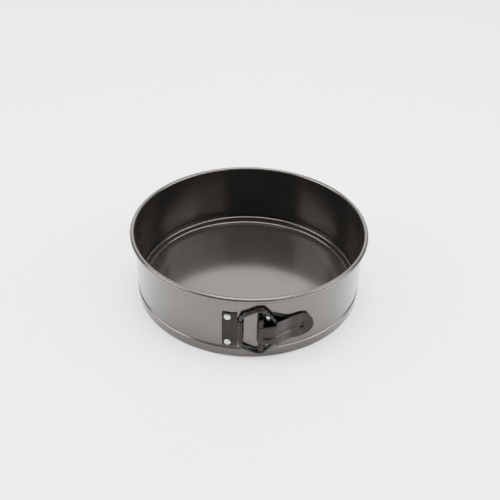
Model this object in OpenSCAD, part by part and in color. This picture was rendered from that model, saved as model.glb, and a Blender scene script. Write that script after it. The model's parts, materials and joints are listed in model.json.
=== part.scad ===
// Springform tin: a sprung sheet ring with a rolled rim and a lower groove, a loose base disc that
// sits in the groove, and an over-centre latch of lever and wire link across the ring's two ends.
// Units are millimetres. The ring's axis is +Z, the latch is at the front (-Y), and the origin is
// the middle of the base disc's underside.

/* [Ring] */
// Inside diameter of the plain wall
inner_d = 229.6; // [210:0.2:250]
// Overall height of the tin
tin_h = 73; // [66:1:80]
// Thickness of the ring's sheet
sheet_t = 0.6; // [0.5:0.1:0.8]
// Outside diameter of the roll along the rim
rim_d = 5.2; // [4:0.2:6]
// Height of the bead that forms the lower groove
bead_h = 11; // [10:0.5:12]
// How far the bead stands out from the wall
bead_out = 0.7; // [0.5:0.1:0.8]

/* [Base disc] */
// Thickness of the base disc's sheet
base_t = 0.7; // [0.6:0.1:1]
// Radius of the flat middle that the tin rests on
rest_r = 92; // [80:1:100]
// Height of the step between the flat middle and the outer land
step_h = 1.1; // [1.1:0.1:1.5]
// Height of the lip's flange above the table
lip_h = 7.8; // [6.5:0.1:8.5]

/* [Latch] */
// Height of the middle of the latch above the table
latch_z = 34.1; // [33:0.1:36]
// Thickness of the two plates
plate_t = 1.0; // [0.8:0.1:1.2]
// Diameter of the link's wire
wire_d = 3.3; // [3:0.1:3.4]
// Diameter of the hinge pin
pin_d = 3.0; // [2.6:0.1:3.2]
// Thickness of the lever's sheet
lever_t = 1.4; // [1.2:0.1:1.5]
// Diameter of a rivet's domed head
rivet_head_d = 6.4; // [6:0.2:6.8]

/* [Hidden] */

$fn = 96;
eps = 0.05;
gap = 0.3;

// Ring radii, and the round arc length to angle
wall_in = inner_d / 2;
wall_out = wall_in + sheet_t;
rim_r = rim_d / 2;
deg_per_mm = 180 / (PI * wall_out);

// Ring profile, measured along the radius and up from the table
ring_z0 = 0.2;
bead_r = wall_out + bead_out;
dip = 0.5;
foot_in = 110.4 - 114.8 + wall_in;
bead_round = 1.2;
wall_z0 = bead_h + 3;

// Seam and overlap at the front, as arc lengths from the middle of the front, + to the right
seam_s = -9.65;
tongue_s0 = -12.5;
tongue_s1 = 14;
tongue_z0 = wall_z0 + 1;
tongue_z1 = tin_h - rim_d - 2.5;
joggle_w = 2.4;

// Base disc profile
crease_r = foot_in + 0.8;
lip_r = foot_in + 2.8;
flange_r = wall_in + 0.4;
step_w = 8;

// Latch layout: arc lengths s along the wall, distances n out from the wall, heights h from latch_z
plate_half_h = 20.2;
catch_s0 = -22.9;
catch_s1 = -9.8;
catch_rivet_s = -17.6;
rivet_h = 15.2;
bar_s = -5.6;
bar_n = 3.15;
knuckle_r = 2.7;
knuckle_half_h = 13.9;
strip_n = 0.35;
strip_half_h = 13.4;
bar_play = 0.07;

hinge_half_h = 19.6;
hinge_knuckle_half_h = 18.2;
hinge_s1 = 33;
hinge_rivet_s = 19.2;
hinge_taper_x = 23;
hinge_end_half_h = 12.8;
axis_s = 12;
axis_n = 6.4;
barrel_r = 2.6;
window_half_h = 10.4;
window_s1 = 30.6;
neck_half_h = 10.1;
pin_play = 0.05;
pin_head_r = 2.1;
pin_head_t = 0.4;

// Link: corners at the left bar, at each peak and at the right bar, and the bends between them
left_corner_h = 18.2;
left_bend_r = 3.5;
peak_corner_h = 25.3;
peak_x0 = 9;
peak_x1 = 15.5;
peak_bend_r = 4;
end_s = 24.8;
end_n = 4.3;
end_corner_h = 12.8;
end_bend_r = 2.6;
swell = 0.05;
run_in = 0.2;

// Lever
lever_s1 = 61.8;
lever_parts = 20;
lever_flat_s = 19;
lever_low_s0 = 43;
lever_low_s1 = 51;
lever_low_n = 2.0;
lever_tip_n = 5.8;
wide_x0 = 26.3;
wide_half_h = 14.4;
waist_x = 35.5;
waist_half_h = 13.3;
tip_round_r = 14.2;
tip_round_x = 47;
groove_half_h = 4.2;
groove_x0 = 14.8;
groove_x1 = 48.2;
groove_depth = 0.9;
lug_h0 = 5.4;
lug_h1 = 6.9;
lug_s0 = 16.2;
lug_s1 = 29.8;
lug_n = 0.35;
slot_r = 2.4;
slot_travel = 5.05;
slot_drop = 0.24;

// Rivets
shank_r = 1.7;
dome_h = 1.6;
tail_r = 3.0;
tail_t = 0.8;

// A point in plan at arc length s along the wall and distance n out from it
function at(s, n) = [(wall_out + n) * sin(s * deg_per_mm), -(wall_out + n) * cos(s * deg_per_mm)];
// Distance of the lever's front face from the wall at arc length s
function face_n(s) =
    s < lever_flat_s ? axis_n + barrel_r
    : s < lever_low_s0 ? lever_low_n + (axis_n + barrel_r - lever_low_n)
        * (1 + cos(180 * (s - lever_flat_s) / (lever_low_s0 - lever_flat_s))) / 2
    : s < lever_low_s1 ? lever_low_n
    : lever_low_n + (lever_tip_n - lever_low_n) * pow((s - lever_low_s1) / (lever_s1 - lever_low_s1), 1.6);
// Arc length of the lever's i-th station, from the hinge to the tip
function station(i) = axis_s + i * (lever_s1 - axis_s) / lever_parts;

bar_p = at(bar_s, bar_n);
end_p = at(end_s, end_n);
axis_p = at(axis_s, axis_n);

// Outline of the ring's sheet, from the wall down through the dip, bead and foot
module ring_sheet() {
    roll_z = tin_h - rim_r;
    polygon([
        [wall_out - 0.15, roll_z],
        [wall_out, roll_z - 0.6],
        [wall_out, wall_z0],
        [wall_out - dip, bead_h + 1.5],
        [wall_out - dip, bead_h + 0.9],
        [bead_r, bead_h - 0.5],
        [bead_r, ring_z0 + bead_round],
        [bead_r - bead_round, ring_z0],
        [foot_in, ring_z0],
        [foot_in, ring_z0 + sheet_t],
        [bead_r - bead_round - sheet_t / 2, ring_z0 + sheet_t],
        [bead_r - sheet_t, ring_z0 + bead_round + sheet_t / 2],
        [bead_r - sheet_t, bead_h - 0.9],
        [wall_in - dip, bead_h + 0.6],
        [wall_in - dip, bead_h + 1.8],
        [wall_in, wall_z0 + 0.2],
        [wall_in, roll_z - 0.6],
        [wall_in + 0.15, roll_z]
    ]);
}

// Outline of the hollow roll along the ring's top edge
module rim_roll() {
    translate([wall_in + rim_r - eps, tin_h - rim_r]) difference() {
        circle(r = rim_r);
        circle(r = rim_r - sheet_t);
    }
}

// Everything between two angles round the axis, out past the rim
module sector(angle0, angle1) {
    step = (angle1 - angle0) / 4;
    arc = [for (i = [0 : 4]) 2 * wall_out * [cos(angle0 + i * step), sin(angle0 + i * step)]];
    translate([0, 0, -1]) linear_extrude(tin_h + 2) polygon(concat([[0, 0]], arc));
}

// The ring with the stretch between two angles taken away
module ring_without(angle0, angle1) {
    difference() {
        union() {
            rotate_extrude($fn = 180) ring_sheet();
            rotate_extrude($fn = 180) rim_roll();
        }
        sector(angle0, angle1);
    }
}

// A curved slab on the wall: arc lengths s0 to s1, radii r0 to r1, heights z0 to z1
module wall_slab(s0, s1, r0, r1, z0, z1) {
    rotate([0, 0, -90 + s0 * deg_per_mm])
        rotate_extrude(angle = (s1 - s0) * deg_per_mm, $fn = 180)
            translate([r0, z0]) square([r1 - r0, z1 - z0]);
}

// A drill through the wall at arc length s and height z
module wall_drill(s, z, r) {
    translate([0, 0, z]) rotate([0, 0, s * deg_per_mm]) rotate([90, 0, 0])
        translate([0, 0, wall_in - 5]) cylinder(r = r, h = 12, $fn = 48);
}

// Both rivet holes of one plate
module rivet_drills(s) {
    for (side = [-1, 1]) wall_drill(s, latch_z + side * rivet_h, shank_r);
}

module base_disc() {
    color([0.36, 0.35, 0.33]) rotate_extrude($fn = 180) polygon([
        [0, 0],
        [rest_r, 0],
        [rest_r + step_w, step_h],
        [crease_r, step_h],
        [crease_r + base_t, step_h + base_t],
        [lip_r + base_t / 2, lip_h - base_t],
        [flange_r, lip_h - base_t],
        [flange_r, lip_h],
        [lip_r - base_t / 2, lip_h],
        [crease_r, step_h + 1.6 * base_t],
        [crease_r - base_t, step_h + base_t],
        [rest_r + step_w - base_t / 2, step_h + base_t],
        [rest_r - base_t / 2, base_t],
        [0, base_t]
    ]);
}

module ring_left_half() {
    back_gap = gap / 2 * deg_per_mm;
    color([0.45, 0.43, 0.41]) difference() {
        union() {
            ring_without(270 + (seam_s - gap / 2) * deg_per_mm, 450 + back_gap);
            wall_slab(tongue_s0, tongue_s1, wall_in - gap - sheet_t, wall_in - gap, tongue_z0, tongue_z1);
            wall_slab(tongue_s0, tongue_s0 + joggle_w, wall_in - gap - sheet_t, wall_out,
                      tongue_z0, tongue_z1);
        }
        rivet_drills(catch_rivet_s);
    }
}

module ring_right_half() {
    back_gap = gap / 2 * deg_per_mm;
    color([0.45, 0.43, 0.41]) difference() {
        ring_without(90 - back_gap, 270 + (seam_s + gap / 2) * deg_per_mm);
        rivet_drills(hinge_rivet_s);
    }
}

module catch_plate() {
    color([0.28, 0.27, 0.26]) difference() {
        union() {
            wall_slab(catch_s0, catch_s1, wall_out, wall_out + plate_t,
                      latch_z - plate_half_h, latch_z + plate_half_h);
            wall_slab(catch_s1 - 1, bar_s - 0.8, wall_out + strip_n, wall_out + strip_n + plate_t,
                      latch_z - strip_half_h, latch_z + strip_half_h);
            translate([bar_p.x, bar_p.y, latch_z - knuckle_half_h])
                cylinder(r = knuckle_r, h = 2 * knuckle_half_h);
        }
        translate([bar_p.x, bar_p.y, latch_z - plate_half_h])
            cylinder(r = wire_d / 2 + bar_play, h = 2 * plate_half_h);
        rivet_drills(catch_rivet_s);
    }
}

// One domed rivet, its shank through plate and wall, and its flat tail inside
module rivet(s, z) {
    ball_r = (pow(rivet_head_d / 2, 2) + pow(dome_h, 2)) / (2 * dome_h);
    translate([0, 0, z]) rotate([0, 0, s * deg_per_mm]) rotate([90, 0, 0]) {
        translate([0, 0, wall_out + plate_t]) intersection() {
            translate([0, 0, dome_h - ball_r]) sphere(r = ball_r, $fn = 64);
            cylinder(r = rivet_head_d / 2 + 1, h = dome_h + 1);
        }
        translate([0, 0, wall_in - tail_t]) cylinder(r = shank_r, h = tail_t + sheet_t + plate_t + eps);
        translate([0, 0, wall_in - tail_t - eps]) cylinder(r = tail_r, h = tail_t);
    }
}

module rivet_pair(s) {
    color([0.78, 0.78, 0.77]) for (side = [-1, 1]) rivet(s, latch_z + side * rivet_h);
}

module catch_rivets() {
    rivet_pair(catch_rivet_s);
}

module hinge_rivets() {
    rivet_pair(hinge_rivet_s);
}

// Outline of the hinge plate seen from the front, narrower at its free end
module hinge_blank() {
    end_x = hinge_s1 + plate_t;
    translate([0, 0, latch_z]) rotate([90, 0, 0]) linear_extrude(wall_out + 20) polygon([
        [0, -hinge_half_h - 1],
        [hinge_taper_x - 1, -hinge_half_h - 1],
        [end_x, -hinge_end_half_h],
        [end_x, hinge_end_half_h],
        [hinge_taper_x - 1, hinge_half_h + 1],
        [0, hinge_half_h + 1]
    ]);
}

module hinge_plate() {
    color([0.28, 0.27, 0.26]) difference() {
        union() {
            intersection() {
                wall_slab(axis_s + barrel_r - plate_t, hinge_s1, wall_out, wall_out + plate_t,
                          latch_z - hinge_half_h, latch_z + hinge_half_h);
                hinge_blank();
            }
            wall_slab(axis_s + barrel_r - plate_t, axis_s + barrel_r, wall_out, wall_out + axis_n,
                      latch_z - hinge_knuckle_half_h, latch_z + hinge_knuckle_half_h);
            translate([axis_p.x, axis_p.y, latch_z - hinge_knuckle_half_h])
                cylinder(r = barrel_r, h = 2 * hinge_knuckle_half_h);
        }
        translate([axis_p.x, axis_p.y, latch_z - plate_half_h])
            cylinder(r = pin_d / 2, h = 2 * plate_half_h);
        wall_slab(0, window_s1, wall_out - 1, wall_out + 12,
                  latch_z - window_half_h, latch_z + window_half_h);
        rivet_drills(hinge_rivet_s);
    }
}

module hinge_pin() {
    color([0.5, 0.5, 0.49]) translate([axis_p.x, axis_p.y, latch_z - hinge_knuckle_half_h]) {
        cylinder(r = pin_d / 2, h = 2 * hinge_knuckle_half_h);
        for (z = [-pin_head_t, 2 * hinge_knuckle_half_h]) translate([0, 0, z])
            cylinder(r = pin_head_r, h = pin_head_t);
    }
}

// Lever's sheet seen in plan, from the hinge to the tip, and as tall as the blank
module lever_sheet() {
    front = [for (i = [0 : lever_parts]) at(station(i), face_n(station(i)))];
    back = [for (i = [lever_parts : -1 : 0]) at(station(i), face_n(station(i)) - lever_t)];
    translate([0, 0, latch_z - wide_half_h - 1]) linear_extrude(2 * wide_half_h + 2)
        polygon(concat(front, back));
}

// Lever's blank seen from the front, standing up at the latch's height
module lever_blank() {
    translate([0, 0, latch_z]) rotate([90, 0, 0]) linear_extrude(wall_out + 20) {
        translate([axis_p.x, -neck_half_h]) square([waist_x - axis_p.x, 2 * neck_half_h]);
        polygon([
            [wide_x0, -wide_half_h],
            [waist_x, -waist_half_h],
            [tip_round_x, -tip_round_r],
            [tip_round_x, tip_round_r],
            [waist_x, waist_half_h],
            [wide_x0, wide_half_h]
        ]);
        translate([tip_round_x, 0]) circle(r = tip_round_r);
    }
}

// Long pressed groove in the lever's face, square at the hinge and round at the tip
module lever_groove() {
    shift_in = face_n(lever_flat_s) - groove_depth;
    intersection() {
        translate([0, 0, latch_z]) rotate([90, 0, 0]) linear_extrude(wall_out + 20) {
            translate([groove_x0, -groove_half_h]) square([groove_x1 - groove_x0, 2 * groove_half_h]);
            translate([groove_x1, 0]) circle(r = groove_half_h);
        }
        translate([0, 0, latch_z - groove_half_h - 1]) linear_extrude(2 * groove_half_h + 2)
            polygon(concat(
                [for (i = [0 : lever_parts]) at(station(i), face_n(station(i)) + shift_in)],
                [for (i = [lever_parts : -1 : 0]) at(station(i), face_n(station(i)) - groove_depth)]
            ));
    }
}

// One of the two lugs behind the lever that hold the link's right bar in a slot
module lever_lug(h0) {
    lug_step = (lug_s1 - lug_s0) / 4;
    edge = [for (s = [lug_s0 : lug_step : lug_s1]) at(s, lug_n)];
    back = [for (s = [lug_s1 : -lug_step : lug_s0]) at(s, face_n(s) - lever_t / 2)];
    translate([0, 0, latch_z + h0]) linear_extrude(lug_h1 - lug_h0) difference() {
        polygon(concat(edge, back));
        translate([end_p.x - slot_travel, end_p.y + slot_drop]) {
            circle(r = slot_r);
            translate([slot_travel, 0]) circle(r = slot_r);
            translate([0, -slot_r]) square([slot_travel, 2 * slot_r]);
        }
    }
}

module lever() {
    color([0.30, 0.29, 0.28]) difference() {
        union() {
            intersection() {
                lever_sheet();
                lever_blank();
            }
            translate([axis_p.x, axis_p.y, latch_z - neck_half_h])
                cylinder(r = barrel_r, h = 2 * neck_half_h);
            lever_lug(lug_h0);
            lever_lug(-lug_h1);
        }
        translate([axis_p.x, axis_p.y, latch_z - neck_half_h - 1])
            cylinder(r = pin_d / 2 + pin_play, h = 2 * neck_half_h + 2);
        lever_groove();
    }
}

// Direction of travel from one plan point to the next, in degrees
function heading(p, q) = atan2(q.y - p.y, q.x - p.x);

// Distance from a corner to where its bend of radius r starts, for a turn of t degrees
function trim(r, t) = r * tan(abs(t) / 2);

// One corner of a flat wire loop, turning right, and the straight run from it to the next corner
module wire_run(prev, here, next, after, bend, next_bend) {
    head_in = heading(prev, here);
    head_out = heading(here, next);
    turn = (head_in - head_out + 720) % 360;
    next_turn = (head_out - heading(next, after) + 720) % 360;
    start = trim(bend, turn);
    run = norm(next - here) - start - trim(next_bend, next_turn);
    translate(here) rotate([0, 0, head_out]) {
        translate([start - run_in, 0]) rotate([0, 90, 0]) cylinder(d = wire_d, h = run + 2 * run_in, $fn = 48);
        translate([start, -bend]) rotate([0, 0, 90])
            rotate_extrude(angle = turn, $fn = 96) translate([bend, 0]) circle(d = wire_d + 2 * swell, $fn = 48);
    }
}

module link() {
    across = norm(end_p - bar_p);
    stretch = across / (end_p.x - bar_p.x);
    peak_u0 = stretch * (peak_x0 - bar_p.x);
    peak_u1 = stretch * (peak_x1 - bar_p.x);
    corners = [
        [0, -left_corner_h],
        [0, left_corner_h],
        [peak_u0, peak_corner_h],
        [peak_u1, peak_corner_h],
        [across, end_corner_h],
        [across, -end_corner_h],
        [peak_u1, -peak_corner_h],
        [peak_u0, -peak_corner_h]
    ];
    bends = [left_bend_r, left_bend_r, peak_bend_r, peak_bend_r,
             end_bend_r, end_bend_r, peak_bend_r, peak_bend_r];
    count = len(corners);
    color([0.16, 0.155, 0.15]) translate([bar_p.x, bar_p.y, latch_z])
        rotate([0, 0, heading(bar_p, end_p)]) rotate([90, 0, 0])
            for (i = [0 : count - 1])
                wire_run(corners[(i + count - 1) % count], corners[i], corners[(i + 1) % count],
                         corners[(i + 2) % count], bends[i], bends[(i + 1) % count]);
}

base_disc();
ring_left_half();
ring_right_half();
catch_plate();
catch_rivets();
hinge_plate();
hinge_rivets();
hinge_pin();
lever();
link();
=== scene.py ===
import json
import math

import bmesh
import bpy
from mathutils import Matrix, Vector


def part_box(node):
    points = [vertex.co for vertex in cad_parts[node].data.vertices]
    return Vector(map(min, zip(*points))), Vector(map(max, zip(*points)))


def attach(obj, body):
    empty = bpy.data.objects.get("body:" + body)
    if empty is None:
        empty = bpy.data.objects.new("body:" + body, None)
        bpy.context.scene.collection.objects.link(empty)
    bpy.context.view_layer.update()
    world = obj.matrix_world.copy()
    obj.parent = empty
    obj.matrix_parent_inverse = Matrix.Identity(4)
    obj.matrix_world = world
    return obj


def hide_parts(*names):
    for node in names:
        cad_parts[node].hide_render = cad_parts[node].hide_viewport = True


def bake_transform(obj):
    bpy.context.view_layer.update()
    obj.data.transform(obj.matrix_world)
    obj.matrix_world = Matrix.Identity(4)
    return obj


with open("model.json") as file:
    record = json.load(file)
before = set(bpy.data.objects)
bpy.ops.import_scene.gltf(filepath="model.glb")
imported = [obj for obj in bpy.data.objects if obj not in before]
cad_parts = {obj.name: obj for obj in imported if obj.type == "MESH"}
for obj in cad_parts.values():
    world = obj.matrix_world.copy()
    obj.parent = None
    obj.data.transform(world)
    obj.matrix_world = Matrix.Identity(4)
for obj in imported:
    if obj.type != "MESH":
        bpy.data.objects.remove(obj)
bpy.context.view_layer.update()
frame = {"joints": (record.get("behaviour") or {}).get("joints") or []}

# Lengths are in millimetres up to to_object(), which turns them into metres
MM = 0.001

# Sheets, wire and pin. The plates are drawn a little thinner than the CAD's, so that they stay inside it
SHEET = 0.6
ROLL_R = 2.6
BASE_T = 0.7
PLATE = 1.0
PLATE_DRAWN = 0.95
LEVER_T = 1.4
WIRE_R = 1.65
PIN_R = 1.5
BARREL_R = 2.6
GAP = 0.3
CORNER_R = 1.4

# Places read from the frame
LEFT_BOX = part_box("ring_left_half")
RIM_R = -LEFT_BOX[0].x / MM
TOP_Z = LEFT_BOX[1].z / MM
WALL = RIM_R - 2 * ROLL_R + SHEET + 0.05
JOINTS = {j["name"]: j for j in frame["joints"]}
AXIS = Vector(JOINTS["lever_hinge"]["pos_m"]) / MM
BAR = Vector(JOINTS["link_pivot"]["pos_m"]) / MM
LATCH_Z = AXIS.z

# In the names below, S is an arc length along the wall from the front, N a distance out from the
# wall, X a place across the front, R a radius, T a thickness, Z a height above the table, and H a
# height above the latch's middle

# Ring: the middle of its sheet in the lower groove, the seam, and the tongue behind the seam
FOOT_R = 110.75
FOOT_Z = 0.5
BEAD_R = 115.8
BEAD_Z = 10.15
DIP_R = 114.6
DIP_Z = 11.3
WALL_Z = 13.8
SEAM_S = -9.65
TONGUE_Z0 = 15
TONGUE_Z1 = 64.3

# Base disc: its flat middle, the step round it, the crease at its edge, and the lip
REST_R = 92.0
STEP_R = 100.0
STEP_Z = 1.45
CREASE_R = 110.9
LIP_R = 112.95
LIP_Z = 7.45
FLANGE_R = 115.1

# Rivets
RIVET_H = 15.2
CATCH_RIVET_S = -17.6
HINGE_RIVET_S = 19.2
SHANK_R = 1.7

# Catch plate: its outline, the curl round the link's bar, and where it bends up and narrows to the curl
CATCH_S0 = -22.9
CATCH_H = 20.2
CATCH_CURL_H = 13.9
BAR_HOLE_R = 1.72
CATCH_BEND_S = -11.2
SHOULDER_S = -9.05

# Hinge plate: its outline, the window in it, and the taper towards its free end
HINGE_S1 = 33.0
PLATE_TOP = 19.6
KNUCKLE_TOP = 18.2
WINDOW = 10.4
WINDOW_S1 = 30.6
TAPER_X = 22
TAPER_W = 12
TAPER_DROP = 7.8

# Lever: its neck, its bend, its outline and its groove
NECK = 10.1
CURL_T = 1.04
FLAT_S = 19.0
LOW_S0 = 43.0
LOW_S1 = 51.0
LOW_N = 2.0
LEVER_S1 = 61.8
TIP_N = 5.8
WIDE_X0 = 26.3
WIDE_H = 14.4
WAIST_X = 35.5
WAIST_H = 13.3
TIP_X = 47.0
TIP_R = 14.2
GROOVE_X0 = 14.8
GROOVE_X1 = 48.2
GROOVE_H = 4.2
GROOVE_DEPTH = 1.65
GROOVE_SLOPE = 1.5

# The lever's two lugs, and the slot in them for the link's right bar
LUG_H = 6.15
LUG_HALF_T = 0.7
LUG_S0 = 16.4
LUG_S1 = 29.4
LUG_N = 0.4
LUG_WALL = 1.4
SLOT_R = 2.4
SLOT_TRAVEL = 5.05
SLOT_DROP = 0.24

# Link: the right bar, the corners' heights, the peaks' places, and the bends' radii
END_S = 24.8
END_N = 4.3
LEFT_H = 18.2
PEAK_H = 25.3
END_H = 12.8
PEAK_XS = (9.0, 15.5)
LEFT_BEND = 3.5
PEAK_BEND = 4
END_BEND = 2.6


# ---------------------------------------------------------------- plan and profile helpers

def plan(s, n):
    """Plan point at arc length s along the wall from the front and n out from the wall, in mm."""
    a = s / WALL
    return Vector(((WALL + n) * math.sin(a), -(WALL + n) * math.cos(a)))


def to_sn(point):
    """Arc length and stand-off of a plan point."""
    return WALL * math.atan2(point.x, -point.y), math.hypot(point.x, point.y) - WALL


def smooth01(t):
    """A smooth step from 0 to 1 while t goes from 0 to 1."""
    t = max(0.0, min(1.0, t))
    return t * t * (3 - 2 * t)


def fillet(corners, steps=6, near=0.35, far=9.0, closed=False):
    """Polyline through corners (x, y, radius), with round corners.

    A straight has a point `near` each of its ends, and others about `far` apart between them.
    """
    n = len(corners)
    arcs = []
    for i, (x, y, r) in enumerate(corners):
        p = Vector((x, y))
        if not closed and i in (0, n - 1) or r <= 0:
            arcs.append([p])
            continue
        a = Vector(corners[i - 1][:2]) - p
        b = Vector(corners[(i + 1) % n][:2]) - p
        a.normalize()
        b.normalize()
        half = math.acos(max(-1, min(1, a.dot(b)))) / 2
        centre = p + (a + b).normalized() * (r / math.sin(half))
        start = p + a * (r / math.tan(half))
        v = start - centre
        sweep = math.pi - 2 * half
        sign = 1 if a.x * b.y - a.y * b.x < 0 else -1
        arcs.append([centre + rotate2(v, sign * sweep * k / steps) for k in range(steps + 1)])
    line = []
    for i in range(n):
        line += arcs[i]
        if i == n - 1 and not closed:
            break
        p, q = arcs[i][-1], arcs[(i + 1) % n][0]
        length = (q - p).length
        if length > 3 * near:
            count = max(1, round((length - 2 * near) / far))
            ts = [near / length + (1 - 2 * near / length) * k / count for k in range(count + 1)]
            line += [p.lerp(q, t) for t in ts]
    return line


def rotate2(v, a):
    """A plan vector turned by an angle."""
    return Vector((v.x * math.cos(a) - v.y * math.sin(a), v.x * math.sin(a) + v.y * math.cos(a)))


def arc2(cx, cy, r, a0, a1, steps):
    """Points on a circle from angle a0 to a1 in degrees."""
    out = []
    for k in range(steps + 1):
        a = math.radians(a0 + (a1 - a0) * k / steps)
        out.append(Vector((cx + r * math.cos(a), cy + r * math.sin(a))))
    return out


def normals2(line):
    """Unit normals on the left of a polyline's direction of travel."""
    out = []
    last = len(line) - 1
    for i in range(last + 1):
        d = (line[min(i + 1, last)] - line[max(i - 1, 0)]).normalized()
        out.append(Vector((-d.y, d.x)))
    return out


# ---------------------------------------------------------------- mesh helpers

def to_object(name, bm, sharp_deg=38):
    """Closes a bmesh in millimetres into an object in metres, smooth but for its sharp edges."""
    bmesh.ops.remove_doubles(bm, verts=bm.verts, dist=1e-4)
    bmesh.ops.recalc_face_normals(bm, faces=bm.faces)
    bmesh.ops.scale(bm, vec=(MM, MM, MM), verts=bm.verts)
    for e in bm.edges:
        e.smooth = len(e.link_faces) != 2 or e.calc_face_angle(0.0) < math.radians(sharp_deg)
    for f in bm.faces:
        f.smooth = True
    mesh = bpy.data.meshes.new(name)
    bm.to_mesh(mesh)
    bm.free()
    obj = bpy.data.objects.new(name, mesh)
    bpy.context.scene.collection.objects.link(obj)
    return obj


def quad(bm, *verts):
    """A face on those vertices, skipping repeated ones."""
    seen = []
    for v in verts:
        if v not in seen:
            seen.append(v)
    if len(seen) >= 3:
        bm.faces.new(seen)


def loft(bm, rings, cap=True):
    """Skins closed rings of equal count in order. A cap closes the first and last ring."""
    rows = [[bm.verts.new(p) for p in ring] for ring in rings]
    n = len(rows[0])
    for a, b in zip(rows, rows[1:]):
        for i in range(n):
            j = (i + 1) % n
            quad(bm, a[i], a[j], b[j], b[i])
    if cap:
        for row in (rows[0], rows[-1]):
            cap_strip(bm, row)
    return rows


def cap_strip(bm, row):
    """Closes a long thin ring by quads between its two sides."""
    n = len(row)
    for i in range(n // 2):
        quad(bm, row[i], row[i + 1], row[n - 2 - i], row[n - 1 - i])


def thick_ring(line, t):
    """Outline of a sheet of thickness t about a centreline: one side out, then the other side back."""
    ns = normals2(line)
    left = [p + q * (t / 2) for p, q in zip(line, ns)]
    right = [p - q * (t / 2) for p, q in zip(line, ns)]
    return left + right[::-1]


def lathe(name, outline, a0, a1, steps, closed=False):
    """Turns an outline of (radius, height) about Z from angle a0 to a1, in degrees."""
    bm = bmesh.new()
    rings = []
    for k in range(steps if closed else steps + 1):
        a = math.radians(a0 + (a1 - a0) * k / steps)
        rings.append([Vector((p.x * math.cos(a), p.x * math.sin(a), p.y)) for p in outline])
    rows = loft(bm, rings, cap=not closed)
    if closed:
        n = len(outline)
        for i in range(n):
            j = (i + 1) % n
            quad(bm, rows[-1][i], rows[-1][j], rows[0][j], rows[0][i])
    return to_object(name, bm)


def bar_section(half_h, t, edge, rows):
    """(height, offset) pairs round a flat bar's section, with round edges."""
    out = []
    flat = half_h - edge
    for k in range(rows + 1):
        out.append((-flat + 2 * flat * k / rows, t / 2))
    for a in (60, 30, 0, -30, -60):
        out.append((flat + edge * math.cos(math.radians(a)), t / 2 * math.sin(math.radians(a))))
    for k in range(rows + 1):
        out.append((flat - 2 * flat * k / rows, -t / 2))
    for a in (-60, -30, 0, 30, 60):
        out.append((-flat - edge * math.cos(math.radians(a)), t / 2 * math.sin(math.radians(a))))
    return out


def sheet_strip(bm, line, half_h, t, mid_z, edge=0.35, rows=2, relief=None):
    """Sweeps a flat bar standing on edge along a plan line.

    Half height, thickness and middle height are each one value or one for each point. The relief
    gives how far the face at a point and a height is pressed in. The back follows it by 0.3 of that.
    """
    count = len(line)
    heights, thick, mids = ([v] * count if not isinstance(v, list) else v for v in (half_h, t, mid_z))
    ns = normals2(line)
    rings = []
    for i in range(count):
        shrink = 0.45 if i in (0, count - 1) else 1.0
        ring = []
        for h, off in bar_section(heights[i], thick[i] * shrink, edge, rows):
            push = relief(i, h) * (1.0 if off < 0 else 0.3) if relief else 0.0
            p = line[i] + ns[i] * (off + push)
            ring.append(Vector((p.x, p.y, mids[i] + h)))
        rings.append(ring)
    loft(bm, rings)


def rounded_ends(line, size=0.3):
    """The same line with an extra point close to each end, for a soft edge there."""
    a = line[0].lerp(line[1], min(0.5, size / max(1e-6, (line[1] - line[0]).length)))
    b = line[-1].lerp(line[-2], min(0.5, size / max(1e-6, (line[-1] - line[-2]).length)))
    return [line[0], a] + line[1:-1] + [b, line[-1]]


def tube(bm, points, r, sides):
    """A closed loop of round wire through 3-D points."""
    n = len(points)
    rings = []
    u = (points[1] - points[0]).cross(points[n // 3] - points[0]).normalized()
    for i in range(n):
        d = (points[(i + 1) % n] - points[i - 1]).normalized()
        v = d.cross(u).normalized()
        ring = []
        for k in range(sides):
            a = 2 * math.pi * k / sides
            ring.append(points[i] + u * (r * math.cos(a)) + v * (r * math.sin(a)))
        rings.append(ring)
    rings.append(rings[0])
    loft(bm, rings, cap=False)


def spin_profile(bm, profile, place, steps=40):
    """A closed solid of revolution from (radius, height) points, put where place says."""
    rows = []
    for k in range(steps):
        a = 2 * math.pi * k / steps
        around = [Vector((r * math.cos(a), r * math.sin(a), z)) for r, z in profile]
        rows.append([bm.verts.new(place @ p) for p in around])
    for k in range(steps):
        a, b = rows[k], rows[(k + 1) % steps]
        for i in range(len(profile) - 1):
            quad(bm, a[i], a[i + 1], b[i + 1], b[i])


# ---------------------------------------------------------------- materials

def new_material(name):
    """An empty material with a principled shader: the material, its node tree and the shader."""
    mat = bpy.data.materials.new(name)
    mat.use_nodes = True
    nodes = mat.node_tree.nodes
    nodes.clear()
    out = nodes.new("ShaderNodeOutputMaterial")
    shader = nodes.new("ShaderNodeBsdfPrincipled")
    mat.node_tree.links.new(shader.outputs[0], out.inputs[0])
    return mat, mat.node_tree, shader


def noise(tree, coord, scale, detail=3.0, rough=0.5, stretch=None):
    """A noise texture's factor, over object coordinates."""
    node = tree.nodes.new("ShaderNodeTexNoise")
    node.inputs["Scale"].default_value = scale
    node.inputs["Detail"].default_value = detail
    node.inputs["Roughness"].default_value = rough
    source = coord.outputs["Object"]
    if stretch:
        mapping = tree.nodes.new("ShaderNodeMapping")
        mapping.inputs["Scale"].default_value = stretch
        tree.links.new(source, mapping.inputs["Vector"])
        source = mapping.outputs["Vector"]
    tree.links.new(source, node.inputs["Vector"])
    return node.outputs["Fac"]


def ramp(tree, fac, low, high, at0=0.35, at1=0.65):
    """A colour ramp between two colours."""
    node = tree.nodes.new("ShaderNodeValToRGB")
    node.color_ramp.elements[0].position = at0
    node.color_ramp.elements[1].position = at1
    node.color_ramp.elements[0].color = (*low, 1)
    node.color_ramp.elements[1].color = (*high, 1)
    tree.links.new(fac, node.inputs["Fac"])
    return node.outputs["Color"]


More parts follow.
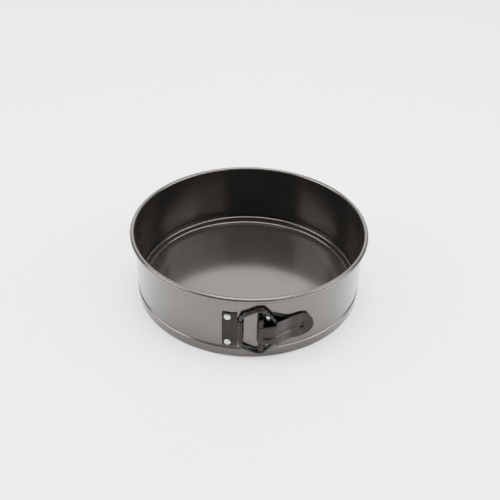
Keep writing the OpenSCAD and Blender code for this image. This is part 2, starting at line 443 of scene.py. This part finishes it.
def span(tree, fac, low, high):
    """A factor mapped on to a range of values."""
    node = tree.nodes.new("ShaderNodeMapRange")
    node.inputs["From Min"].default_value = 0.3
    node.inputs["From Max"].default_value = 0.7
    node.inputs["To Min"].default_value = low
    node.inputs["To Max"].default_value = high
    tree.links.new(fac, node.inputs["Value"])
    return node.outputs["Result"]


def mix(tree, share, a, b):
    """Two colours mixed, with this share of the second one."""
    node = tree.nodes.new("ShaderNodeMix")
    node.data_type = "RGBA"
    node.inputs[0].default_value = share
    tree.links.new(a, node.inputs[6])
    tree.links.new(b, node.inputs[7])
    return node.outputs[2]


def bump(tree, shader, height, strength, distance):
    """Fine relief on the shader's surface, with its depth in metres."""
    node = tree.nodes.new("ShaderNodeBump")
    node.inputs["Strength"].default_value = strength
    node.inputs["Distance"].default_value = distance
    tree.links.new(height, node.inputs["Height"])
    tree.links.new(node.outputs["Normal"], shader.inputs["Normal"])


def coating(name, base, spread, metallic, rough, gloss=0.5, grain=1500.0, grain_height=0.000012):
    """A dark non-stick coating on steel: fine fleck, faint cloudiness and a soft, slightly pebbled gloss."""
    mat, tree, shader = new_material(name)
    coord = tree.nodes.new("ShaderNodeTexCoord")
    dark = tuple(c * (1 - spread) for c in base)
    light = tuple(c * (1 + spread) for c in base)
    cloud = ramp(tree, noise(tree, coord, 28.0, 4.0), dark, light)
    fleck = ramp(tree, noise(tree, coord, 900.0, 2.0), dark, tuple(c * 1.2 for c in light), 0.40, 0.75)
    tree.links.new(mix(tree, 0.35, cloud, fleck), shader.inputs["Base Color"])
    smear = noise(tree, coord, 40.0, 2.0, 0.5)
    tree.links.new(span(tree, smear, rough[0], rough[1]), shader.inputs["Roughness"])
    shader.inputs["Metallic"].default_value = metallic
    shader.inputs["Specular IOR Level"].default_value = gloss
    bump(tree, shader, noise(tree, coord, grain, 2.0), 0.12, grain_height)
    return mat


def bright_metal(name):
    """Tumbled aluminium of the rivets, with fine scuffs."""
    mat, tree, shader = new_material(name)
    coord = tree.nodes.new("ShaderNodeTexCoord")
    tone = ramp(tree, noise(tree, coord, 900.0, 4.0), (0.27, 0.265, 0.26), (0.42, 0.415, 0.41))
    tree.links.new(tone, shader.inputs["Base Color"])
    scuff = noise(tree, coord, 1800.0, 3.0, 0.6, (1.0, 1.0, 0.25))
    tree.links.new(span(tree, scuff, 0.16, 0.34), shader.inputs["Roughness"])
    shader.inputs["Metallic"].default_value = 1.0
    bump(tree, shader, scuff, 0.4, 0.00001)
    return mat


def plain_floor(name):
    """The floor's pale matt material."""
    mat, tree, shader = new_material(name)
    coord = tree.nodes.new("ShaderNodeTexCoord")
    tone = ramp(tree, noise(tree, coord, 3.0, 2.0), (0.90, 0.90, 0.90), (0.92, 0.92, 0.92))
    tree.links.new(tone, shader.inputs["Base Color"])
    shader.inputs["Roughness"].default_value = 0.9
    shader.inputs["Specular IOR Level"].default_value = 0.0
    return mat


RING_MAT = coating("ring_coating", (0.066, 0.061, 0.056), 0.05, 0.90, (0.19, 0.22))
BASE_MAT = coating("base_coating", (0.046, 0.042, 0.039), 0.05, 0.70, (0.15, 0.18))
# The plates' coating is darker than the ring's in its own right. Its colour is also set darker as painted
# shade, standing in for the lever's shadow on the hinge plate.
PLATE_MAT = coating("plate_coating", (0.015, 0.0135, 0.012), 0.06, 1.0, (0.26, 0.30))
LEVER_MAT = coating("lever_coating", (0.017, 0.0155, 0.0142), 0.05, 1.0, (0.18, 0.22))
LINK_MAT = coating("link_coating", (0.005, 0.0046, 0.0042), 0.10, 0.0, (0.12, 0.16), 0.22, 900.0, 0.000006)
RIVET_MAT = bright_metal("bright_rivet")


# ---------------------------------------------------------------- ring

def band_outline():
    """The ring's sheet: the foot under the disc, the bead, the dip, the wall and the roll."""
    mid = WALL - SHEET / 2
    roll_x = RIM_R - ROLL_R
    roll_z = TOP_Z - ROLL_R
    wall = fillet([
        (FOOT_R, FOOT_Z, 0),
        (BEAD_R, FOOT_Z, 1.6),
        (BEAD_R, BEAD_Z, 0.9),
        (DIP_R, DIP_Z, 0.6),
        (mid, WALL_Z, 3.0),
        (mid, roll_z - 0.5, 0),
    ], far=7.0)
    curl = arc2(roll_x, roll_z, ROLL_R - SHEET / 2, 178, -128, 34)
    return thick_ring(wall + curl, SHEET)


def tongue(bm):
    """The left half's inner strip behind the seam: it steps in from the wall and narrows at its end."""
    n = -SHEET - GAP - SHEET / 2
    step_in = [plan(-12.4, -SHEET / 2), plan(-11.8, -SHEET / 2 - 0.05), plan(-10.6, n + 0.1)]
    line = step_in + [plan(-9.8 + 23.8 * k / 12, n) for k in range(13)]
    mid_z = (TONGUE_Z0 + TONGUE_Z1) / 2
    half = (TONGUE_Z1 - TONGUE_Z0) / 2
    last = len(line) - 1
    heights = [half - 2.0 * smooth01(i - last + 1) for i in range(last + 1)]
    sheet_strip(bm, rounded_ends(line), [heights[0]] + heights + [heights[-1]], SHEET, mid_z)


def ring_half(name, a0, a1, with_tongue):
    """One half of the ring from angle a0 to a1."""
    obj = lathe(name, band_outline(), a0, a1, 168)
    if with_tongue:
        bm = bmesh.new()
        tongue(bm)
        extra = to_object(name + "_tongue", bm)
        join(obj, extra)
    obj.data.materials.append(RING_MAT)
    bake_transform(obj)
    return obj


def join(obj, *others):
    """Adds the other objects' meshes to the first one's."""
    bm = bmesh.new()
    bm.from_mesh(obj.data)
    for other in others:
        bm.from_mesh(other.data)
    bm.to_mesh(obj.data)
    bm.free()
    for other in others:
        bpy.data.objects.remove(other)


def build_ring():
    """Both halves, which meet at the back and leave the seam at the front."""
    seam = math.degrees(SEAM_S / WALL)
    half_gap = math.degrees(GAP / 2 / WALL)
    left = ring_half("ring_left_shell", 90.0, 270 + seam - half_gap, True)
    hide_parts("ring_left_half")
    right = ring_half("ring_right_shell", -90 + seam + half_gap, 90.0, False)
    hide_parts("ring_right_half")


# ---------------------------------------------------------------- base disc

def build_base():
    """Sheet disc with a soft step, a creased edge and a lip with a flange."""
    line = fillet([
        (0.02, BASE_T / 2, 0),
        (REST_R, BASE_T / 2, 22.0),
        (STEP_R, STEP_Z, 22.0),
        (CREASE_R, STEP_Z, 2.2),
        (LIP_R, LIP_Z, 1.5),
        (FLANGE_R, LIP_Z, 0),
    ], far=6.0)
    obj = lathe("base_plate", thick_ring(line, BASE_T), 0, 360, 240, closed=True)
    obj.data.materials.append(BASE_MAT)
    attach(obj, "base")
    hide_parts("base_disc")


# ---------------------------------------------------------------- latch

def curl_plan(cx, cy, r, a0, a1, steps, lean):
    """Arc in plan about a centre, with its angles measured from the wall's own right at that place."""
    s_dir = Vector((math.cos(lean), math.sin(lean)))
    n_dir = Vector((math.sin(lean), -math.cos(lean)))
    return [Vector((cx, cy)) + s_dir * p.x + n_dir * p.y for p in arc2(0, 0, r, a0, a1, steps)]


def corner_drop(inset):
    """Change of height by a round corner, this far in from the stamped edge: 0 past the corner."""
    left = max(0.0, CORNER_R - inset)
    return math.sqrt(max(0.0, CORNER_R ** 2 - left ** 2)) - CORNER_R


def build_catch_plate():
    """Flat plate with two rivets whose right edge is curled round the link's left bar."""
    r = BAR_HOLE_R + PLATE_DRAWN / 2 + 0.03
    bar_s, bar_n = to_sn(BAR)
    lean = bar_s / WALL
    bottom_n = bar_n - r
    low_n = PLATE / 2
    # Closer together at the round corners, at the bend and at the shoulder
    stations = [-22.9, -22.7, -22.4, -22.0, -21.5, -20.5, -18.5, -16.5, -14.5, -12.5, -11.4, -11.0,
                -10.6, -10.2, -9.8, -9.4, -9.05, -8.75, -8.3, -7.4, -6.4]
    flat = [plan(s, low_n + (bottom_n - low_n) * smooth01((s - CATCH_BEND_S) / 2.4)) for s in stations]
    curl = curl_plan(BAR.x, BAR.y, r, -90, 205, 26, lean)
    line = flat + curl
    heights = []
    for p in line:
        s = to_sn(p)[0]
        near_curl = (p - BAR.xy).length < r + 0.6
        main = CATCH_H + corner_drop(s - CATCH_S0)
        shoulder = smooth01((s - SHOULDER_S) / 0.3)
        heights.append(CATCH_CURL_H if near_curl else main + (CATCH_CURL_H - main) * shoulder)
    bm = bmesh.new()
    sheet_strip(bm, line, heights, PLATE_DRAWN, LATCH_Z, rows=6)
    obj = to_object("catch_plate_curled", bm)
    obj.data.materials.append(PLATE_MAT)
    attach(obj, "ring_left")
    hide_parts("catch_plate")


def rivet_place(s, z):
    """Frame at the wall's surface with its Z pointing out."""
    a = s / WALL
    out = Vector((math.sin(a), -math.cos(a), 0))
    side = Vector((math.cos(a), math.sin(a), 0))
    up = Vector((0, 0, 1))
    origin = out * WALL
    origin.z = z
    m = Matrix((side, up, out)).transposed().to_4x4()
    m.translation = origin
    return m


def rivet_profile():
    """Radius and distance out from the wall: the dome, its rim, the shank, and the tail in the ring."""
    dome = []
    for k in range(9):
        a = math.radians(90 - 90 * k / 8)
        dome.append((3.16 * math.cos(a), PLATE + 0.28 + 1.28 * math.sin(a)))
    dome[0] = (0.0, dome[0][1])
    rim = [(3.2, PLATE + 0.14), (3.12, PLATE + 0.02), (SHANK_R, PLATE)]
    shank = [(SHANK_R, -SHEET)]
    tail = [(2.8, -SHEET - 0.02), (3.0, -SHEET - 0.25), (2.85, -SHEET - 0.62), (2.3, -SHEET - 0.8)]
    return dome + rim + shank + tail + [(0.0, -SHEET - 0.84)]


def build_rivets(name, node, body, s):
    """Both rivets of one plate, one above the other at arc length s."""
    bm = bmesh.new()
    for side in (-1, 1):
        spin_profile(bm, rivet_profile(), rivet_place(s, LATCH_Z + side * RIVET_H))
    obj = to_object(name, bm)
    obj.data.materials.append(RIVET_MAT)
    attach(obj, body)
    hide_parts(node)


def build_hinge_plate():
    """Plate with two rivets, open in the middle, whose left edge rises and curls into two knuckles."""
    axis_s = to_sn(AXIS)[0]
    lean = axis_s / WALL
    r = PIN_R + PLATE_DRAWN / 2 + 0.04
    flat = [plan(HINGE_S1 - k * 1.3, PLATE / 2) for k in range(12)]
    bend = arc_bend(16.8, PLATE / 2, axis_s + r, 1.3)
    rise = [plan(axis_s + r, n) for n in (2.6, 3.8, 5.2)]
    curl = curl_plan(AXIS.x, AXIS.y, r, 0, 268, 26, lean)
    line = rounded_ends(flat + bend + rise + curl)
    tops = []
    for p in line:
        s = to_sn(p)[0]
        free_end = PLATE_TOP + 1 - TAPER_DROP * (p.x - TAPER_X) / TAPER_W
        knuckle = PLATE_TOP - (PLATE_TOP - KNUCKLE_TOP) * smooth01((17.2 - s) / 1.6)
        tops.append(min(PLATE_TOP, free_end, knuckle))
    halves = [(top - WINDOW) / 2 for top in tops]
    bm = bmesh.new()
    for side in (-1, 1):
        mids = [LATCH_Z + side * (top + WINDOW) / 2 for top in tops]
        sheet_strip(bm, line, halves, PLATE_DRAWN, mids, rows=3)
    bridge = rounded_ends([plan(WINDOW_S1 + (HINGE_S1 - WINDOW_S1) * k / 4, PLATE / 2) for k in range(5)])
    sheet_strip(bm, bridge, WINDOW + 0.8, PLATE_DRAWN - 0.06, LATCH_Z)
    obj = to_object("hinge_plate_curled", bm)
    obj.data.materials.append(PLATE_MAT)
    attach(obj, "ring_right")
    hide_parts("hinge_plate")


def arc_bend(s_from, n_from, s_to, r):
    """Plan points turning from along the wall, going left, to straight out from it."""
    out = [plan(s_from, n_from)]
    for k in range(7):
        a = math.radians(90 * k / 6)
        out.append(plan(s_to + r - r * math.sin(a), n_from + r - r * math.cos(a)))
    return out


def build_pin():
    """Hinge pin with two slightly domed heads."""
    top = KNUCKLE_TOP
    head = [(0.0, top + 0.4), (1.3, top + 0.37), (1.9, top + 0.28), (2.08, top + 0.15), (2.08, top + 0.03)]
    profile = head + [(PIN_R, top), (PIN_R, -top)] + [(r, -z) for r, z in head[::-1]]
    bm = bmesh.new()
    spin_profile(bm, profile, Matrix.Translation(AXIS), 32)
    obj = to_object("hinge_pin_headed", bm)
    obj.data.materials.append(PLATE_MAT)
    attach(obj, "ring_right")
    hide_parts("hinge_pin")


def face_n(s):
    """Distance of the lever's front face from the wall at arc length s."""
    high = to_sn(AXIS)[1] + BARREL_R
    if s < FLAT_S:
        return high
    if s < LOW_S0:
        return LOW_N + (high - LOW_N) * (1 + math.cos(math.pi * (s - FLAT_S) / (LOW_S0 - FLAT_S))) / 2
    if s < LOW_S1:
        return LOW_N
    return LOW_N + (TIP_N - LOW_N) * ((s - LOW_S1) / (LEVER_S1 - LOW_S1)) ** 1.6


def lever_half_height(x):
    """Half the lever's height where its plan x is this."""
    if x < WIDE_X0:
        return NECK
    if x < WAIST_X:
        full = WIDE_H - (WIDE_H - WAIST_H) * (x - WIDE_X0) / (WAIST_X - WIDE_X0)
    elif x < TIP_X:
        full = WAIST_H + (TIP_R - WAIST_H) * smooth01((x - WAIST_X) / (TIP_X - WAIST_X))
    else:
        full = math.sqrt(max(0.0, TIP_R ** 2 - (x - TIP_X) ** 2))
    return max(0.7, full + corner_drop(x - WIDE_X0))


def lever_line():
    """Plan centrelines of the lever's sheet: its curl round the pin, then the arm out to the tip.

    The arm's points are closer together where the blank widens and towards the round tip.
    """
    lean = to_sn(AXIS)[0] / WALL
    curl = curl_plan(AXIS.x, AXIS.y, BARREL_R - CURL_T / 2, 380, 90, 26, lean)
    stations = [12.4 + 0.6 * k for k in range(21)]
    x_edge = [WIDE_X0 + 0.02, WIDE_X0 + 0.25, WIDE_X0 + 0.7, WIDE_X0 + 1.4]
    x_start = WIDE_X0 + 2.0
    x_tip = TIP_X + TIP_R - 0.03
    rows = 64
    for k in range(rows + 1):
        turn = math.pi / 2 * k / rows
        x_edge.append(x_start + (x_tip - x_start) * math.sin(turn) ** 0.9)
    arm = [plan(s, face_n(s) - arm_t(s) / 2) for s in stations if plan(s, face_n(s)).x < WIDE_X0 - 0.3]
    arm.append(at_x(WIDE_X0 - 0.02))
    arm += [at_x(x) for x in x_edge]
    return curl, arm


def arm_t(s):
    """Thickness of the lever's sheet, thinner where it starts round the pin."""
    return CURL_T + (LEVER_T - CURL_T) * smooth01((s - 12) / 5)


def at_x(x):
    """Plan point on the lever's centreline whose x is this, found by halving a stretch round it."""
    s0, s1 = 10.0, 70.0
    for k in range(40):
        s = (s0 + s1) / 2
        p = plan(s, face_n(s) - arm_t(s) / 2)
        s0, s1 = (s, s1) if p.x < x else (s0, s)
    return p


def groove_relief(line, first):
    """Depth of the pressed groove, as a function of the line's point and the height on the lever."""
    def depth(i, h):
        if i < first:
            return 0.0
        x = line[i].x
        d = max(math.hypot(max(x - GROOVE_X1, 0.0), h), GROOVE_H + GROOVE_X0 - x)
        return GROOVE_DEPTH * smooth01((GROOVE_H + 0.6 - d) / GROOVE_SLOPE)
    return depth


def build_lever():
    """Stamped lever with a curled neck, a pressed groove and two slotted lugs behind it."""
    curl, arm = lever_line()
    line = curl + arm
    line = [line[0], line[0].lerp(line[1], 0.3)] + line[1:]
    first = len(curl) + 1
    heights = [NECK if i < first else lever_half_height(p.x) for i, p in enumerate(line)]
    thick = [CURL_T if i < first else arm_t(to_sn(p)[0]) for i, p in enumerate(line)]
    bm = bmesh.new()
    sheet_strip(bm, line, heights, thick, LATCH_Z, edge=0.5, rows=60, relief=groove_relief(line, first))
    for side in (-1, 1):
        lug(bm, side)
    obj = to_object("lever_pressed", bm)
    obj.data.materials.append(LEVER_MAT)
    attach(obj, "lever_body")
    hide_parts("lever")


def lug(bm, side):
    """Slotted lug behind the lever that holds the link's right bar."""
    end = plan(END_S, END_N)
    z0 = LATCH_Z + side * LUG_H
    hole, outer = [], []
    for k in range(48):
        a = 2 * math.pi * (k + 0.5) / 48
        d = Vector((math.cos(a), math.sin(a)))
        base = end + Vector((-SLOT_TRAVEL if d.x < 0 else 0.0, SLOT_DROP))
        hole.append(base + d * SLOT_R)
        s, n = to_sn(base + d * (SLOT_R + LUG_WALL))
        s = max(LUG_S0, min(s, LUG_S1))
        outer.append(plan(s, max(LUG_N, min(n, face_n(s) - LEVER_T * 0.6))))
    rings = []
    sides = ((hole, -LUG_HALF_T), (outer, -LUG_HALF_T), (outer, LUG_HALF_T), (hole, LUG_HALF_T))
    for points, z in sides:
        rings.append([Vector((p.x, p.y, z0 + z)) for p in points])
    rings.append(rings[0])
    loft(bm, rings, cap=False)


def link_points():
    """Centreline of the link's wire loop, with round bends."""
    end = plan(END_S, END_N)
    across = (end - BAR.xy).length
    along = (end - BAR.xy).normalized()
    peaks = [across * (x - BAR.x) / (end.x - BAR.x) for x in PEAK_XS]
    flat = fillet([
        (0, -LEFT_H, LEFT_BEND),
        (0, LEFT_H, LEFT_BEND),
        (peaks[0], PEAK_H, PEAK_BEND),
        (peaks[1], PEAK_H, PEAK_BEND),
        (across, END_H, END_BEND),
        (across, -END_H, END_BEND),
        (peaks[1], -PEAK_H, PEAK_BEND),
        (peaks[0], -PEAK_H, PEAK_BEND),
    ], steps=9, near=0.3, far=3.0, closed=True)
    out = []
    for p in flat:
        q = BAR.xy + along * p.x
        out.append(Vector((q.x, q.y, LATCH_Z + p.y)))
    return out


def build_link():
    """Round wire bent into a closed loop."""
    bm = bmesh.new()
    tube(bm, link_points(), WIRE_R, 28)
    obj = to_object("link_wire", bm)
    obj.data.materials.append(LINK_MAT)
    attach(obj, "link_body")
    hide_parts("link")


# ---------------------------------------------------------------- studio

def build_floor():
    """Plain pale floor."""
    bm = bmesh.new()
    bmesh.ops.create_grid(bm, x_segments=2, y_segments=2, size=6.0)
    mesh = bpy.data.meshes.new("floor")
    bm.to_mesh(mesh)
    bm.free()
    floor = bpy.data.objects.new("floor", mesh)
    bpy.context.scene.collection.objects.link(floor)
    floor.data.materials.append(plain_floor("pale_floor"))


def area_light(name, place, target, size, power):
    """Rectangular softbox at a place in metres, turned to its target, with its power in watts."""
    data = bpy.data.lights.new(name, "AREA")
    data.shape = "RECTANGLE"
    data.size, data.size_y = size
    data.energy = power
    light = bpy.data.objects.new(name, data)
    light.location = place
    light.rotation_euler = (Vector(target) - Vector(place)).to_track_quat("-Z", "Y").to_euler()
    bpy.context.scene.collection.objects.link(light)


def build_studio():
    """Even white surroundings and five softboxes."""
    world = bpy.data.worlds.new("studio")
    world.use_nodes = True
    back = world.node_tree.nodes["Background"]
    back.inputs["Color"].default_value = (1.0, 1.0, 1.0, 1.0)
    back.inputs["Strength"].default_value = 0.85
    bpy.context.scene.world = world
    area_light("back_soft", (0.0, 1.9, 1.75), (0, 0, 0), (2.8, 1.5), 72.0)
    area_light("top_soft", (0.0, 0.12, 1.8), (0, 0, 0), (1.2, 1.2), 76.0)
    area_light("front_soft", (1.0, -1.1, 1.25), (0, 0, 0), (0.8, 0.7), 12.0)
    area_light("left_soft", (-1.8, -0.3, 1.25), (-0.3, -0.1, 0), (1.5, 1.5), 80.0)
    area_light("right_soft", (1.8, -0.3, 1.25), (0.3, -0.1, 0), (1.5, 1.5), 76.0)


def build_camera():
    """Camera in front of the latch, looking down into the pan."""
    data = bpy.data.cameras.new("camera")
    data.sensor_width = 36.0
    data.lens = 48.28
    data.shift_x = 0.0029
    data.shift_y = 0.0182
    data.clip_start, data.clip_end = 0.01, 50.0
    cam = bpy.data.objects.new("camera", data)
    distance = 0.7036
    rise = math.radians(36.73)
    roll = 0.0235
    aim = Vector((0, 0, 0.0284))
    back = Vector((0, -math.cos(rise), math.sin(rise)))
    look = (-back).to_track_quat("-Z", "Y").to_matrix() @ Matrix.Rotation(roll, 3, "Z")
    cam.matrix_world = Matrix.Translation(aim + back * distance) @ look.to_4x4()
    bpy.context.scene.collection.objects.link(cam)
    bpy.context.scene.camera = cam


build_ring()
build_base()
build_catch_plate()
build_rivets("catch_rivet_pair", "catch_rivets", "ring_left", CATCH_RIVET_S)
build_hinge_plate()
build_rivets("hinge_rivet_pair", "hinge_rivets", "ring_right", HINGE_RIVET_S)
build_pin()
build_lever()
build_link()
build_floor()
build_studio()
build_camera()
